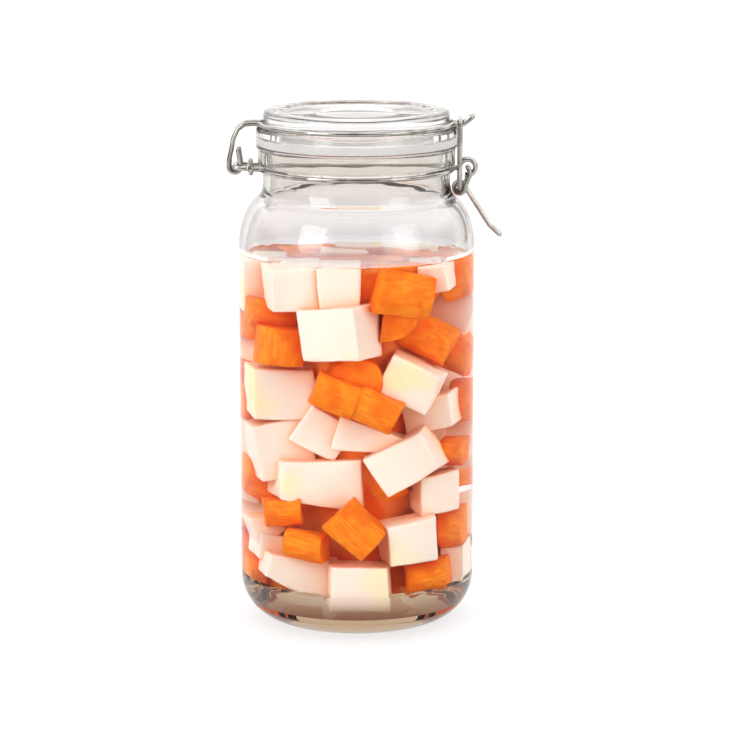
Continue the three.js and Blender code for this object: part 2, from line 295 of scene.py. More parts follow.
def radish_finish():
    """White radish: pale flesh with faint fibres, and painted shade, tinted orange like the light the
    carrots throw back, in the gaps.
    """
    finish = Finish("radish_flesh")
    patches = finish.noise(finish.place(), 26.0, detail=1.0)
    fibres = finish.noise(finish.place(scale=(0.18, 1.0, 1.0), attribute="grain"), 520.0, detail=2.0)
    cream = finish.between(patches, 0.58, 0.72)
    flesh = finish.blend(cream, (0.93, 0.81, 0.71), (0.95, 0.82, 0.5))
    shade = finish.between(fibres, 0.3, 0.75, 0.0, 0.12)
    flesh = finish.blend(shade, flesh, (0.9, 0.66, 0.5))
    # Painted shade: orange-pink where the neighbouring pieces hide the surface, standing in for shade and
    # the carrots' bounce light
    gap = sheltered(finish, 0.022)
    finish.set(Base_Color=finish.blend(gap * 0.8, flesh, (1.0, 0.4, 0.17)))
    finish.set(Roughness=0.45, Specular_IOR_Level=0.08)
    finish.set(Subsurface_Weight=0.3, Subsurface_Radius=(1.0, 0.6, 0.4), Subsurface_Scale=0.004)
    grit = finish.noise(finish.place(), 900.0, detail=2.0)
    finish.set(Normal=finish.bump(fibres * 0.6 + grit * 0.4, 0.2, 0.0003))
    return finish.owner


def carrot_finish():
    """Carrot: fibres along the root, a paler core and a deeper rim on the cut ends, with painted deep-red
    shade in the gaps.
    """
    finish = Finish("carrot_flesh")
    across = finish.place(scale=(0.0, 1.0, 1.0), attribute="grain")
    reach = finish.node("ShaderNodeVectorMath", {"operation": "LENGTH"}, {0: across}, output="Value")
    core = finish.between(reach, 0.0035, 0.0055)
    fibres = finish.noise(finish.place(scale=(0.13, 1.0, 1.0), attribute="grain"), 1300.0, detail=4.0)
    patches = finish.noise(finish.place(), 110.0, detail=3.0)
    flesh = finish.blend(core, (0.98, 0.28, 0.006), (0.96, 0.19, 0.002))
    pale = finish.between(fibres, 0.4, 0.62, 0.0, 0.75)
    flesh = finish.blend(pale, flesh, (1.0, 0.36, 0.02))
    deep = finish.between(patches, 0.45, 0.65, 0.0, 0.6)
    flesh = finish.blend(deep, flesh, (0.82, 0.11, 0.0))
    # Painted shade: deeper red where the neighbouring pieces hide the surface, from ambient occlusion
    gap = sheltered(finish, 0.012)
    finish.set(Base_Color=finish.blend(gap * 0.6, flesh, (0.9, 0.07, 0.0)))
    finish.set(Roughness=0.45, Specular_IOR_Level=0.06)
    finish.set(Subsurface_Weight=0.15, Subsurface_Radius=(1.0, 0.3, 0.1), Subsurface_Scale=0.003)
    finish.set(Normal=finish.bump(fibres, 0.5, 0.0004))
    return finish.owner


def core_finish():
    """What lies deep in the heap, orange in the light that the carrots throw back."""
    finish = Finish("heap_core")
    patches = finish.noise(finish.place(), 42.0, detail=1.0)
    mix = finish.between(patches, 0.42, 0.58)
    finish.set(Base_Color=finish.blend(mix, (0.9, 0.1, 0.003), (0.95, 0.22, 0.04)), Roughness=0.6)
    finish.set(Specular_IOR_Level=0.05)
    return finish.owner


def floor_finish():
    finish = Finish("floor_white")
    speckle = finish.noise(finish.place(), 3.0, detail=1.0)
    finish.set(Base_Color=finish.blend(speckle, (0.22, 0.22, 0.22), (0.24, 0.24, 0.24)), Roughness=0.9)
    finish.set(Emission_Color=(1.0, 1.0, 1.0), Emission_Strength=0.72)
    return finish.owner


# Meshes
def finished(name, mesh, material, body, slot, *nodes, smooth_angle=40.0):
    """Turns a bmesh into a piece that rides on a body and stands for the named nodes."""
    bmesh.ops.remove_doubles(mesh, verts=mesh.verts, dist=1e-6)
    bmesh.ops.recalc_face_normals(mesh, faces=mesh.faces)
    data = bpy.data.meshes.new(name)
    mesh.to_mesh(data)
    mesh.free()
    data.shade_smooth()
    data.set_sharp_from_angle(angle=math.radians(smooth_angle))
    data.materials.append(material)
    piece = bpy.data.objects.new(name, data)
    bpy.context.scene.collection.objects.link(piece)
    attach(piece, body)
    if nodes:
        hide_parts(*nodes)
    return piece


def arc_profile(centre_r, centre_z, a, b, start, end, steps):
    """Points of an elliptical arc in the profile plane, from one angle to another in degrees."""
    points = []
    for i in range(steps + 1):
        t = math.radians(start + (end - start) * i / steps)
        points.append((centre_r + a * math.cos(t), centre_z + b * math.sin(t)))
    return points


def soft_corner(points, radius, steps=4):
    """The same profile or route with each sharp corner rounded."""
    route = [Vector(p) for p in points]
    rounded = [route[0]]
    for before, corner, after in zip(route, route[1:], route[2:]):
        back, on = before - corner, after - corner
        turn = math.pi - back.angle(on)
        if turn < math.radians(20):
            rounded.append(corner)
            continue
        reach = min(radius * math.tan(turn / 2), 0.48 * back.length, 0.48 * on.length)
        start = corner + back.normalized() * reach
        end = corner + on.normalized() * reach
        for i in range(steps + 1):
            t = i / steps
            rounded.append((1 - t) ** 2 * start + 2 * t * (1 - t) * corner + t ** 2 * end)
    rounded.append(route[-1])
    return rounded


def turned(profile, steps=ROUND_STEPS):
    """A bmesh spun from a profile of (radius, height) pairs in millimetres."""
    mesh = bmesh.new()
    verts = [mesh.verts.new((r * MM, 0.0, z * MM)) for r, z in profile]
    edges = [mesh.edges.new(pair) for pair in zip(verts, verts[1:])]
    bmesh.ops.spin(mesh, geom=verts + edges, cent=(0, 0, 0), axis=(0, 0, 1),
                   angle=2 * math.pi, steps=steps, use_merge=True)
    bmesh.ops.remove_doubles(mesh, verts=mesh.verts, dist=1e-6)
    return mesh


def swept(route, radius=WIRE_R, sides=16, mesh=None):
    """A closed round wire along a route of points in millimetres."""
    mesh = mesh or bmesh.new()
    points = [Vector(p) * MM for p in route]
    heading = (points[1] - points[0]).normalized()
    turn = Vector((0, 0, 1)).rotation_difference(heading).to_matrix().to_4x4()
    ring = bmesh.ops.create_circle(mesh, cap_ends=True, segments=sides, radius=radius * MM,
                                   matrix=Matrix.Translation(points[0]) @ turn)["verts"]
    for i in range(1, len(points)):
        edges = [e for e in mesh.edges if e.verts[0] in ring and e.verts[1] in ring]
        made = bmesh.ops.extrude_edge_only(mesh, edges=edges)["geom"]
        ring = [g for g in made if isinstance(g, bmesh.types.BMVert)]
        ahead = points[min(i + 1, len(points) - 1)] - points[i - 1]
        swing = heading.rotation_difference(ahead.normalized()).to_matrix().to_4x4()
        heading = ahead.normalized()
        about = Matrix.Translation(points[i]) @ swing @ Matrix.Translation(-points[i - 1])
        bmesh.ops.transform(mesh, matrix=about, verts=ring)
    bmesh.ops.contextual_create(mesh, geom=ring)
    return mesh


def mirrored(half):
    """One side's route, carried on through its mirror image across y = 0."""
    other = [Vector((p[0], -p[1], p[2])) for p in half]
    return other[:0:-1] + [Vector(p) for p in half]


def turn_about(pivot, radius, start, end, steps, y_start, y_end=None):
    """Points of a circle about a pivot in the XZ plane, drifting from one y to another."""
    y_end = y_start if y_end is None else y_end
    points = []
    for i in range(steps + 1):
        part = i / steps
        t = math.radians(start + (end - start) * part)
        y = y_start + (y_end - y_start) * part
        points.append((pivot[0] + radius * math.cos(t), y, pivot[1] + radius * math.sin(t)))
    return points


def half_ring(radius, z, y_hinge, y_latch, steps=60):
    """The near half of a ring round the jar, from the hinge side to the latch side."""
    start = math.pi + math.asin(y_hinge / radius)
    end = 2 * math.pi - math.asin(y_latch / radius)
    points = []
    for i in range(steps + 1):
        t = start + (end - start) * i / steps
        points.append((radius * math.cos(t), radius * math.sin(t), z))
    return points


# Glass
def inner_heel(extra=0.0):
    foot = BODY_R - WALL - INNER_HEEL
    return arc_profile(foot, FLOOR_Z + INNER_HEEL, INNER_HEEL + extra, INNER_HEEL + extra, 0, -90, 14)


def give(piece, material, wanted):
    """Gives one more material to the faces whose middle passes a test."""
    piece.data.materials.append(material)
    slot = len(piece.data.materials) - 1
    for face in piece.data.polygons:
        if wanted(face.center / MM):
            face.material_index = slot


def make_jar(material, wet_base, full, wet):
    """The jar; the wet finishes are for the faces that the brine covers, full for the wall's outside."""
    inner_r = BODY_R - WALL
    head_r = 37.8
    lip_edge = 0.6
    mouth_edge = 0.8
    finish_edge = 1.2
    profile = [(0.0, 0.0)]
    profile += arc_profile(FOOT_R, HEEL_H, BODY_R - FOOT_R, HEEL_H, -90, 0, 20)
    profile += arc_profile(BODY_R - SHOULDER_IN, SHOULDER_Z, SHOULDER_IN, SHOULDER_H, 0, 66, 18)
    profile += [(46.3, 207.3), (45.7, 208.3), (45.2, 209.6), (44.9, 211.2)]
    profile += [(NECK_R, 213.0), (NECK_R, 220.6)]
    profile += arc_profile(FINISH_R - finish_edge, 222.6, finish_edge, finish_edge, -60, 0, 4)
    profile += [(FINISH_R, 229.0), (FINISH_R + 0.3, 229.6)]
    profile += arc_profile(LIP_R - lip_edge, JAR_TOP - lip_edge, lip_edge, lip_edge, -30, 90, 5)
    profile += arc_profile(MOUTH_R + mouth_edge, JAR_TOP - mouth_edge, mouth_edge, mouth_edge, 90, 180, 4)
    profile += [(MOUTH_R, 214.0), (41.5, 211.0), (41.8, 208.4), (42.3, 206.2)]
    profile += arc_profile(head_r, 181.0, inner_r - head_r, 24.5, 68, 0, 16)
    profile += [(inner_r, BRINE_Z + MENISCUS), (inner_r, HEEL_H + 8.0)]
    profile += inner_heel()
    profile += [(0.0, FLOOR_Z)]
    jar = finished("jar_glass", turned(profile), material, "jar", "jar_glass", "jar")

    def covered(middle):
        inside = math.hypot(middle.x, middle.y) < inner_r + CLOSE
        return inside and FLOOR_Z - CLOSE < middle.z < BRINE_Z + MENISCUS

    give(jar, wet_base, covered)
    give(jar, full, lambda middle: HEEL_H < middle.z < BRINE_Z + MENISCUS)
    give(jar, wet, lambda middle: covered(middle) and middle.z > HEEL_H)


def make_lid(material):
    """The lid, from its hollow underside over the plug and the flange to the stepped top."""
    ceiling = 240.4
    hollow_r = 35.2
    hollow_edge = 1.4
    plug_edge = 0.8
    under_edge = 0.9
    over_edge = 1.2
    disc_edge = 2.0
    middle_z = LID_TOP - 2.5
    profile = [(0.0, ceiling), (hollow_r, ceiling)]
    profile += arc_profile(hollow_r, ceiling - hollow_edge, hollow_edge, hollow_edge, 90, 0, 4)
    profile += [(37.0, PLUG_Z + 0.9)]
    profile += arc_profile(37.8, PLUG_Z + plug_edge, plug_edge, plug_edge, 180, 270, 4)
    profile += arc_profile(PLUG_R - plug_edge, PLUG_Z + plug_edge, plug_edge, plug_edge, 270, 360, 4)
    profile += [(PLUG_R, FLANGE_Z)]
    profile += arc_profile(FLANGE_R - under_edge, FLANGE_Z + under_edge, under_edge, under_edge, 270, 360, 4)
    profile += arc_profile(FLANGE_R - over_edge, FLANGE_TOP - over_edge, over_edge, over_edge, 0, 90, 5)
    profile += [(DISC_R + 0.5, FLANGE_TOP), (DISC_R, FLANGE_TOP + 0.5)]
    profile += arc_profile(DISC_R - disc_edge, LID_TOP - disc_edge, disc_edge, disc_edge, 0, 90, 7)
    profile += [(37.9, LID_TOP), (37.2, LID_TOP - 0.2), (36.3, LID_TOP - 1.1), (35.6, LID_TOP - 1.3)]
    profile += [(20.6, LID_TOP - 1.4), (20.1, LID_TOP - 1.6), (19.6, LID_TOP - 2.3)]
    profile += [(19.0, middle_z), (0.0, middle_z)]
    return finished("lid_glass", turned(profile), material, "lid", "lid_glass", "lid")


def make_seal(material):
    inner, outer = PLUG_R + 0.4, LIP_R
    top = SEAL_Z + SEAL_T
    edge = 0.8
    profile = [(inner, SEAL_Z)]
    profile += arc_profile(outer - edge, SEAL_Z + edge, edge, edge, 270, 360, 4)
    profile += arc_profile(outer - edge, top - edge, edge, edge, 0, 90, 4)
    profile += [(inner, top), (inner, SEAL_Z)]
    return finished("seal_ring", turned(profile), material, "lid", "seal", "seal")


def make_brine(material, side):
    """The brine, a little into the glass; side is the finish of the faces within the glass."""
    inner_r = BODY_R - WALL + BRINE_REACH
    profile = [(0.0, FLOOR_Z - BRINE_REACH)]
    profile += inner_heel(BRINE_REACH)[::-1]
    profile += [(inner_r, 170.0), (inner_r, BRINE_Z + MENISCUS), (inner_r - 0.7, BRINE_Z + 0.6)]
    profile += [(inner_r - 1.5, BRINE_Z + 0.25), (inner_r - 2.8, BRINE_Z), (0.0, BRINE_Z)]
    brine = finished("brine", turned(profile), material, "jar", "jar_glass", smooth_angle=60.0)

    def in_glass(middle):
        return middle.z < BRINE_Z - CLOSE or math.hypot(middle.x, middle.y) > inner_r - CLOSE

    give(brine, side, in_glass)


# Wires
def make_neck_wire(material):
    """The wire round the neck: hinge bar, two hooks for the lever and two collars on the bar's ends."""
    corners = [(HINGE[0], 0, HINGE[1]), (HINGE[0], -HINGE_BAR_HALF, HINGE[1])]
    corners += half_ring(NECK_RING_R, NECK_RING_Z, HINGE_BAR_HALF, HOOK_Y)
    corners += [(PIVOT[0] - HOOK_R, -HOOK_Y, NECK_RING_Z)]
    corners += turn_about(PIVOT, HOOK_R, 170, -110, 20, -HOOK_Y)
    mesh = swept(mirrored(soft_corner(corners, 2.4)))
    steps = 26
    collar_r = 2 * WIRE_R - 0.1
    collar_z = HINGE[1] - 0.45
    collar_drift = 1.6
    for side in (-1, 1):
        coil = []
        for i in range(steps + 1):
            t = 2 * math.pi * i / steps
            x = COLLAR_X + (i / steps - 0.5) * collar_drift
            y = side * (HINGE_BAR_HALF + collar_r * math.cos(t))
            coil.append((x, y, collar_z + collar_r * math.sin(t)))
        swept(coil, mesh=mesh)
    return finished("neck_wire_bent", mesh, material, "jar", "wire", "neck_wire")


def make_lid_wire(material):
    """The wire round the lid: two arms with eyes on the hinge bar, and the upturned nose."""
    arm = [(-60.7, 224), (-59.5, 229.4), (-58.7, 234), (-56.5, 238.6), (-53.5, 240.9), (-50, 241.3)]
    corners = [(NOSE_TIP[0], 0, NOSE_TIP[1]), (NOSE_TIP[0], -NOSE_Y, NOSE_TIP[1])]
    corners += [(NOSE_SADDLE[0] + 1.5, -NOSE_Y, NOSE_SADDLE[1] + 0.6)]
    corners += [(NOSE_SADDLE[0], -NOSE_Y, NOSE_SADDLE[1])]
    corners += half_ring(LID_RING_R, LID_RING_Z, ARM_Y, NOSE_Y)[::-1]
    corners += [(x, -ARM_Y, z) for x, z in reversed(arm)]
    corners += turn_about(HINGE, EYE_R, 180, 370, 16, -ARM_Y)
    corners += [(-56.4, -ARM_Y, 229.3)]
    mesh = swept(mirrored(soft_corner(corners, 2.0)))
    return finished("lid_wire_bent", mesh, material, "lid", "wire", "lid_wire")


def make_lever(material):
    """One bent wire: axle, an eye round the link on each side and the narrow finger tab."""
    corners = [(68.6, 0, 187.7), (68.6, -TAB_Y, 187.7), (63.6, -TAB_Y, 192.3)]
    corners += turn_about(LINK_LOW, LEVER_EYE_R, 33.5, 360, 26, -1.6, -LEVER_Y)
    corners += [(52.4, -LEVER_Y, 212.8), (54.4, -LEVER_Y, 217.5)]
    corners += [(PIVOT[0], -LEVER_Y, PIVOT[1]), (PIVOT[0], -0.3, PIVOT[1])]
    mesh = swept(mirrored(soft_corner(corners, 1.6)))
    return finished("lever_bent", mesh, material, "lever", "wire", "lever")


def make_link(material):
    """The upright loop between the lever's eyes and the nose."""
    (low_x, low_z), (top_x, top_z) = LINK_LOW, LINK_TOP
    half = soft_corner([(low_x, 0.5, low_z), (low_x, -LINK_Y, low_z), (top_x, -LINK_Y, top_z),
                        (top_x, 0.5, top_z)], 2.4, steps=8)
    mesh = swept(half)
    swept([(p[0], -p[1], p[2]) for p in half][::-1], mesh=mesh)
    return finished("link_loop", mesh, material, "link", "wire", "link")


# Vegetables that show at the front, the foremost first: column and row of the middle in the
# picture, size as it shows across and up and guessed inwards in millimetres, turn in the picture
# and turn to the side in degrees. Off stands back from the wall. Height is set for those that
# reach the brine's top.
SHOWN = [
    dict(cut="cube", seen=(340, 336.5), shown=(30.2, 25, 24), roll=7.5, yaw=-25),
    dict(cut="cube", seen=(409, 386), shown=(28, 19.7, 20), roll=-28),
    dict(cut="cube", seen=(404, 465.5), shown=(32.5, 22, 22), roll=28),
    dict(cut="length", seen=(279, 348), shown=(27, 18.5, 18), roll=-3, upright=True),
    dict(cut="length", seen=(283, 517), shown=(20.5, 13, 15), roll=8, yaw=-10),
    dict(cut="length", seen=(356, 533), shown=(22.5, 20, 17), roll=-44),
    dict(cut="cube", seen=(408, 544), shown=(25.5, 20.5, 22), roll=6, yaw=18),
    dict(cut="cube", seen=(281, 396), shown=(34, 24.5, 20), roll=1),
    dict(cut="length", seen=(376, 412), shown=(20, 16, 16), roll=-27),
    dict(cut="length", seen=(337, 397), shown=(20.5, 17, 16), roll=-22),
    dict(cut="length", seen=(402, 293), shown=(28, 20, 18), roll=-12, yaw=18, height=166),
    dict(cut="cube", seen=(294.5, 293), shown=(23.5, 20.5, 22), roll=2, height=167.5),
    dict(cut="cube", seen=(434, 498), shown=(23, 18.5, 22), roll=4, yaw=25),
    dict(cut="length", seen=(427, 581), shown=(22.5, 16, 18), roll=8, yaw=8),
    dict(cut="cube", seen=(298, 577), shown=(34, 11, 18), roll=-13, taper=1.9),
    dict(cut="cube", seen=(359, 591), shown=(27, 20.5, 22), roll=-1),
    dict(cut="cube", seen=(341, 285), shown=(18.5, 23.5, 22), roll=1.5, height=167),
    dict(cut="cube", seen=(282, 453), shown=(32, 27, 20), roll=14),
    dict(cut="cube", seen=(322, 488), shown=(40, 18, 22), roll=-2, taper=1.4),
    dict(cut="length", seen=(308, 549), shown=(20, 14, 16), roll=-6, yaw=-20),
    dict(cut="wedge", seen=(370, 446), shown=(31, 17, 18), roll=-14, off=7),
    dict(cut="quarter", seen=(398, 329), shown=(19, 19, 18), roll=-4),
    dict(cut="disc", seen=(356, 386), shown=(24, 24, 16), off=3),
    dict(cut="cube", seen=(426, 420), shown=(24, 16, 18), roll=12),
    dict(cut="length", seen=(424, 343), shown=(26, 17, 17), roll=-32),
    dict(cut="length", seen=(455, 459), shown=(17, 13, 15), roll=-6),
    dict(cut="length", seen=(456, 533), shown=(17, 18.5, 16), roll=2),
    dict(cut="cube", seen=(452, 315), shown=(27, 26, 18), roll=-40),
    dict(cut="length", seen=(462, 411), shown=(18, 20, 16)),
    dict(cut="length", seen=(271, 318), shown=(27, 13, 16), roll=-3),
    dict(cut="length", seen=(262, 491), shown=(21, 17, 16), roll=-20),
    dict(cut="cube", seen=(255, 279), shown=(19, 25, 18), roll=2, height=166),
    dict(cut="cube", seen=(326, 440), shown=(22, 20, 18), roll=-32, off=8),
    dict(cut="wedge", seen=(266, 535), shown=(20, 17, 18), roll=28),
    dict(cut="cube", seen=(292, 558), shown=(34, 13, 18), roll=-8),
    dict(cut="cube", seen=(459, 572), shown=(17, 19, 16), roll=3),
    dict(cut="length", seen=(451, 362), shown=(22, 17, 16), roll=-34),
    dict(cut="cube", seen=(431, 254), shown=(15, 13, 15), roll=6, height=171),
    dict(cut="length", seen=(456, 268), shown=(18, 19, 16), roll=16, height=168),
    dict(cut="length", seen=(371, 287), shown=(16, 19, 14), off=8, height=166),
    dict(cut="length", seen=(250, 411), shown=(14, 18, 14)),
    dict(cut="length", seen=(253, 578), shown=(12, 11, 12)),
    dict(cut="length", seen=(379, 494), shown=(16, 20, 14), roll=30, off=16),
]
# Vegetables at the top round the sides and back, by bearing from the front in degrees and height
TOP = [
    dict(cut="cube", bearing=180, at=(0, 170), size=(24, 13, 20), roll=6),
    dict(cut="cube", bearing=140, at=(0, 170), size=(22, 15, 20), roll=-5),
    dict(cut="length", bearing=112, at=(0, 170), size=(22, 14, 18)),
    dict(cut="length", bearing=-108, at=(0, 170), size=(24, 14, 18), roll=5),
    dict(cut="length", bearing=-145, at=(0, 170), size=(26, 14, 20), roll=-4),
]
# Where the front ones stand: the plane they are read in and the inside of the wall
FRONT_Y = -50.0
FRONT_R = 52.8
# The round brine widens a vegetable the more, the further behind the front of the wall it lies
BRINE_GAIN = 0.25
# How far the line of sight falls to each millimetre inwards
SIGHT_FALL = 0.15
# How much of the half width meets the wall, and how far out at most
EDGE_SHARE = 0.9
FURTHEST = 51.0
# What the greater distance takes from the width, and from the height to each millimetre
DEEPER = 0.75
FARTHER = 0.0005
LENS_ROUNDS = 20

# The rest of the heap: rows round the back and inside, fillers, and room to wall and brine top
BACK_ROWS = 8
BACK_COLUMNS = 5
FILLERS = 90
INNER_ROWS = 9
INNER_COLUMNS = 7
INNER_REACH = 33.0
WALL_CLEARANCE = 0.5
COVER = 0.8
FRONT_PUSH = 10
DEEPEST_PUSH = 18
SNUG = 0.84
RADISH_CUTS = ("cube", "wedge")
DRAW_SEED = 11
CORE_PROFILE = [(0, 14), (16, 14), (24, 24), (25, 156), (18, 165), (0, 166)]


def height_seen(row):
    """Height of a point close inside the front wall that shows at a row of the picture."""
    focal_pixels = FRAME * LENS / SENSOR
    down = math.radians(TILT_DOWN) + math.atan((row - FRAME / 2) / focal_pixels)
    return CAMERA[2] - math.tan(down) * (FRONT_Y - CAMERA[1])


def from_picture(piece):
    """A vegetable's real place and size, from what shows through the round wall and the brine."""
    width, height, depth = piece["shown"]
    column, row = piece["seen"]
    roll = piece.get("roll", 0)
    lean = math.radians(roll)
    view = FRONT_Y - CAMERA[1]
    wider = 1.0
    for _ in range(LENS_ROUNDS):
        across = (column - MIDDLE_COLUMN) * PIXEL / wider
        half = (width * abs(math.cos(lean)) + height * abs(math.sin(lean))) / wider / 2
        furthest = min(abs(across) + EDGE_SHARE * half, FURTHEST)
        behind = FRONT_R - math.sqrt(FRONT_R ** 2 - furthest ** 2)
        wider = view / (view + DEEPER * behind) / (1 - BRINE_GAIN * min(behind / FRONT_R, 1.0))
    sight = height_seen(row) - SIGHT_FALL * (behind - FRONT_R - FRONT_Y)
    size = (round(width / wider, 1), round(height * (1 + FARTHER * behind), 1), depth)
    if piece.get("upright"):
        size = (size[1], size[0], depth)
        roll += 90
    found = {key: piece[key] for key in ("cut", "yaw", "taper", "off") if key in piece}
    return dict(found, at=(round(across, 1), piece.get("height", round(sight, 1))), size=size, roll=roll)


def inner_radius(z):
    """How far out a vegetable may reach at a height, in millimetres."""
    below = max(FLOOR_Z + INNER_HEEL - z, 0.0) / INNER_HEEL
    heel = INNER_HEEL * math.sqrt(max(1 - below * below, 0.0))
    return BODY_R - WALL - INNER_HEEL + heel - WALL_CLEARANCE


def knife_cut(width, height, depth, taper, crown, draw):
    """A block cut by knife, its corners a little off; crown rounds the side that was the skin."""
    mesh = bmesh.new()
    bmesh.ops.create_cube(mesh, size=1.0)
    for vert in mesh.verts:
        if vert.co.x > 0:
            vert.co.z *= taper
        vert.co += Vector([(draw.random() - 0.5) * 0.09 for _ in range(3)])
    bmesh.ops.subdivide_edges(mesh, edges=mesh.edges, cuts=7, use_grid_fill=True)
    for vert in mesh.verts:
        x, y, z = vert.co
        y += crown * (2 * z) ** 2 * max(0.5 - y, 0.0)
        vert.co = Vector((x * width, y * depth, z * height))
    return mesh


def slice_cut(thick, tall, wide, quarter):
    """A slice across the root, whole or a quarter, with its round rim in the picture plane."""
    mesh = bmesh.new()
    stand = Matrix.Rotation(math.pi / 2, 4, "X")
    bmesh.ops.create_cone(mesh, cap_ends=True, segments=40, radius1=0.5, radius2=0.48, depth=1.0,
                          matrix=stand)
    for normal in [(-1, 0, 0), (0, 0, 1)] if quarter else []:
        geometry = mesh.verts[:] + mesh.edges[:] + mesh.faces[:]
        cut = bmesh.ops.bisect_plane(mesh, geom=geometry, plane_co=(0, 0, 0), plane_no=normal,
                                     clear_outer=True)
        rim = [g for g in cut["geom_cut"] if isinstance(g, bmesh.types.BMEdge)]
        bmesh.ops.contextual_create(mesh, geom=rim)
    share = 2.0 if quarter else 1.0
    for vert in mesh.verts:
        vert.co = Vector((vert.co.x * wide * share, vert.co.y * thick, vert.co.z * tall * share))
    return mesh


def vegetable(piece, draw):
    """One vegetable at the origin, in millimetres, with its own grain written on it."""
    width, height, depth = piece["size"]
    cut = piece["cut"]
    if cut in RADISH_CUTS:
        taper = piece.get("taper", 0.35 if cut == "wedge" else 1.0)
        mesh = knife_cut(width, height, depth, taper, 0.0, draw)
    elif cut == "length":
        mesh = knife_cut(width, height, depth, 0.94, 0.28, draw)
    else:
        mesh = slice_cut(depth, height, width, cut == "quarter")
    root_along_y = cut in ("quarter", "disc")
    grain = mesh.verts.layers.float_vector.new("grain")
    shift = draw.uniform(-50, 50)
    for vert in mesh.verts:
        x, y, z = vert.co
        along, side = (y, x) if root_along_y else (x, y - (0.3 * depth if cut == "length" else 0))
        vert[grain] = Vector((along + shift, side, z)) * MM
    bmesh.ops.recalc_face_normals(mesh, faces=mesh.faces)
    sharp = [e for e in mesh.edges if e.calc_face_angle(0.0) > math.radians(50)]
    bmesh.ops.bevel(mesh, geom=sharp, offset=0.8, segments=2, profile=0.5, affect="EDGES", material=-1)
    middle = sum((v.co for v in mesh.verts), Vector()) / len(mesh.verts)
    offset = Vector([draw.uniform(-90, 90) for _ in range(3)])
    swell = 0.5 if cut in RADISH_CUTS else 0.9
    mesh.normal_update()
    for vert in mesh.verts:
        spot = vert.co + offset
        wave = noise.noise(spot * 0.08) * swell + noise.noise(spot * 0.3) * 0.2
        vert.co += vert.normal * wave - middle
    return mesh


def outward_of(piece):
    """Towards the viewer for the front, and away from the middle all round."""
    angle = math.radians(piece.get("bearing", 0))
    return Vector((math.sin(angle), -math.cos(angle), 0))


def placed(piece, draw):
    """Turns a vegetable, and pushes it outwards until its first point meets the wall."""
    mesh = vegetable(piece, draw)
    across, height = piece["at"]
    turn = Matrix.Rotation(math.radians(piece.get("bearing", 0) + piece.get("yaw", 0)), 3, "Z")
    turn = turn @ Matrix.Rotation(-math.radians(piece.get("roll", 0)), 3, "Y")
    bmesh.ops.rotate(mesh, verts=mesh.verts, cent=(0, 0, 0), matrix=turn)
    top = max(v.co.z for v in mesh.verts)
    low = min(v.co.z for v in mesh.verts)
    height = max(min(height, BRINE_Z - COVER - top), FLOOR_Z + COVER - low)
    bmesh.ops.translate(mesh, verts=mesh.verts, vec=(across, 0, height))
    outward = outward_of(piece)
    push = piece.get("reach", BODY_R)
    for vert in mesh.verts:
        flat = Vector((vert.co.x, vert.co.y, 0))
        limit = inner_radius(vert.co.z)
        along = flat.dot(outward)
        push = min(push, math.sqrt(max(along ** 2 - flat.length_squared + limit ** 2, 0.0)) - along)
    bmesh.ops.translate(mesh, verts=mesh.verts, vec=outward * (push - piece.get("off", 0)))
    return mesh


def settle(piece, mesh, others, deepest):
    """Draws a vegetable in from the wall until it is clear of those before it, if it has room."""
    middle = sum((v.co for v in mesh.verts), Vector()) / len(mesh.verts)
    faces = [[v.index for v in face.verts] for face in mesh.faces]
    points = [middle + SNUG * (v.co - middle) for v in mesh.verts]
    inward = -outward_of(piece)
    for step in range(deepest + 1):
        tree = BVHTree.FromPolygons([p + inward * step for p in points], faces)
        clear = not any(tree.overlap(other) for other in others)
        if clear:
            break
    bmesh.ops.translate(mesh, verts=mesh.verts, vec=inward * step)
    if clear or deepest == FRONT_PUSH:
        others.append(tree)
        return True
    return False


def back_pieces(draw):
    """Pieces behind, row by row, in the same mix of sizes."""
    pieces = []
    for row in range(BACK_ROWS):
        for column in range(BACK_COLUMNS):
            bearing = 96 + (column + 0.5 * (row % 2)) * 36 + draw.uniform(-4, 4)
            height = 24 + row * 20.3 + draw.uniform(-2, 2)
            size = [length + draw.uniform(0, 5) for length in (23, 18, 19)]
            cut = "cube" if draw.random() < 0.55 else "length"
            turn = draw.uniform(-35, 35)
            pieces.append(dict(cut=cut, bearing=bearing, at=(0, height), size=size, roll=turn))
    return pieces


def inner_pieces(draw):
    """A second layer, seen through the gaps."""
    pieces = []
    for row in range(INNER_ROWS):
        for column in range(INNER_COLUMNS):
            bearing = (column + 0.5 * (row % 2)) * 360 / INNER_COLUMNS + draw.uniform(-8, 8)
            height = 22 + row * 18.2 + draw.uniform(-2, 2)
            size = [length + draw.uniform(0, 4) for length in (20, 18, 16)]
            cut = "cube" if draw.random() < 0.4 else "length"
            pieces.append(dict(cut=cut, bearing=bearing, at=(0, height), size=size, reach=INNER_REACH,
                               roll=draw.uniform(-40, 40), yaw=draw.uniform(-40, 40)))
    return pieces


def filler_pieces(draw):
    """Smaller pieces for the places that are still open behind."""
    pieces = []
    for number in range(FILLERS):
        size = [length + draw.uniform(0, 4) for length in (17, 14, 14)]
        cut = "cube" if draw.random() < 0.5 else "length"
        bearing = draw.uniform(80, 280)
        pieces.append(dict(cut=cut, bearing=bearing, at=(0, draw.uniform(20, 170)), size=size,
                           roll=draw.uniform(-40, 40)))
    return pieces


